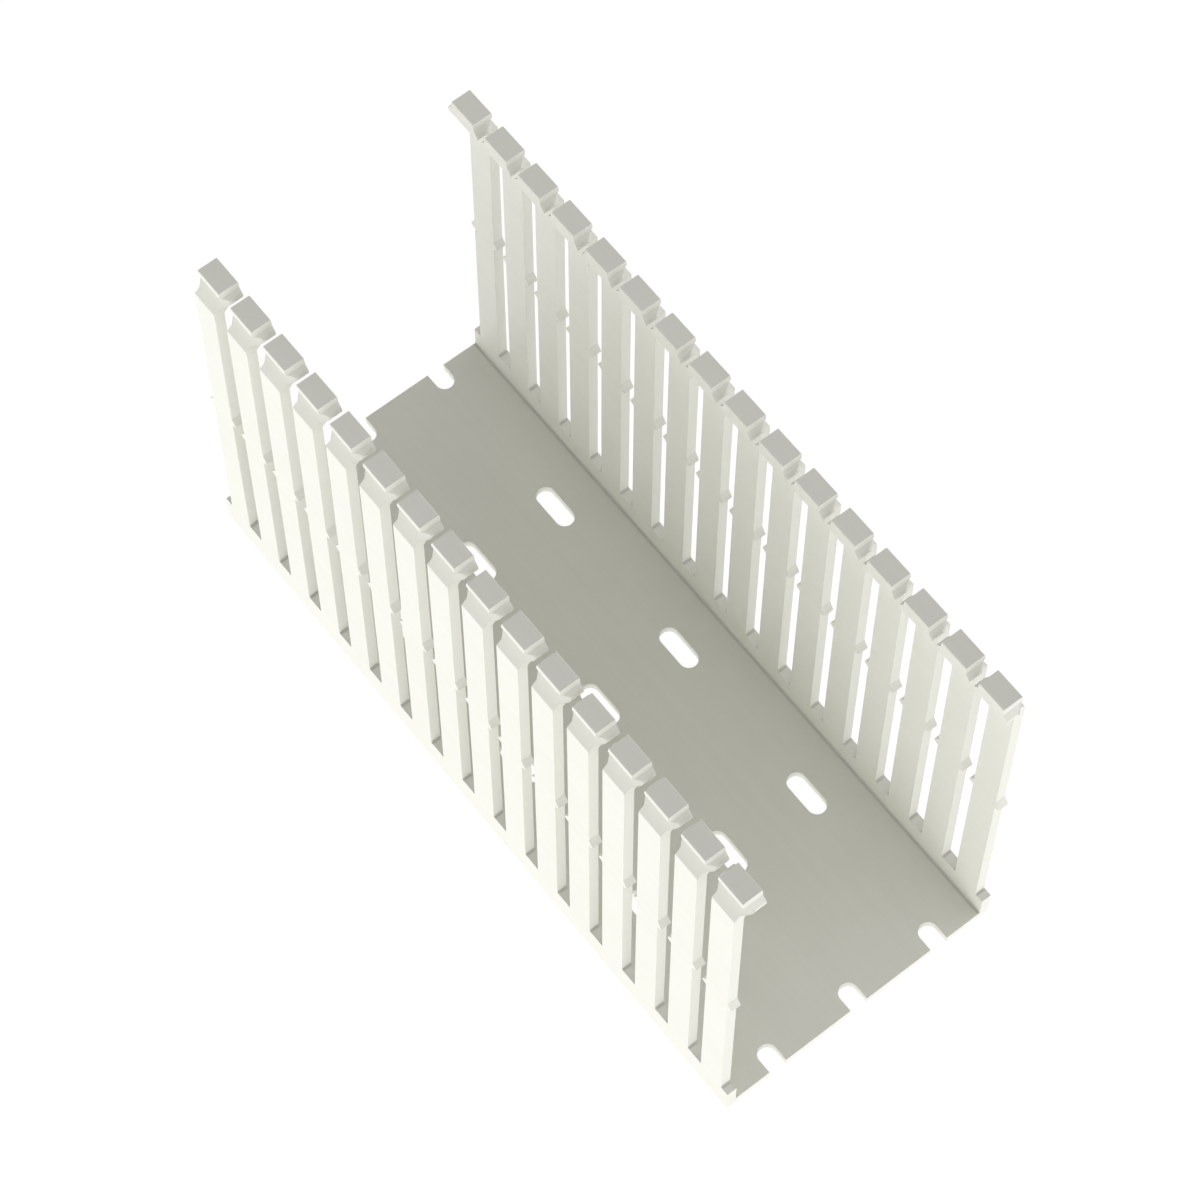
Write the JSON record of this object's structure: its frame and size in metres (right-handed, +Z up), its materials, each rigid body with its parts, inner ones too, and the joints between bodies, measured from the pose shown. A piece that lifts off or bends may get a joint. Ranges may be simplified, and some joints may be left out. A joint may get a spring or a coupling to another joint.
{
  "type": "slotted wire duct",
  "caption": "Open plastic wiring channel with rows of barbed fingers along both sides, a rail for a clip-on cover and oblong mounting slots through its base.",
  "frame": {"origin": "middle of the underside of the base", "axes": "+X along the duct, +Y across it, +Z up from the base to the finger tops"},
  "size_m": [0.2032, 0.0826, 0.127],
  "materials": {
    "duct_plastic": "smooth extruded rigid PVC, pale warm grey with a light satin"
  },
  "bodies": {
    "root": {"duct_channel": "duct_plastic"}
  },
  "joints": []
}
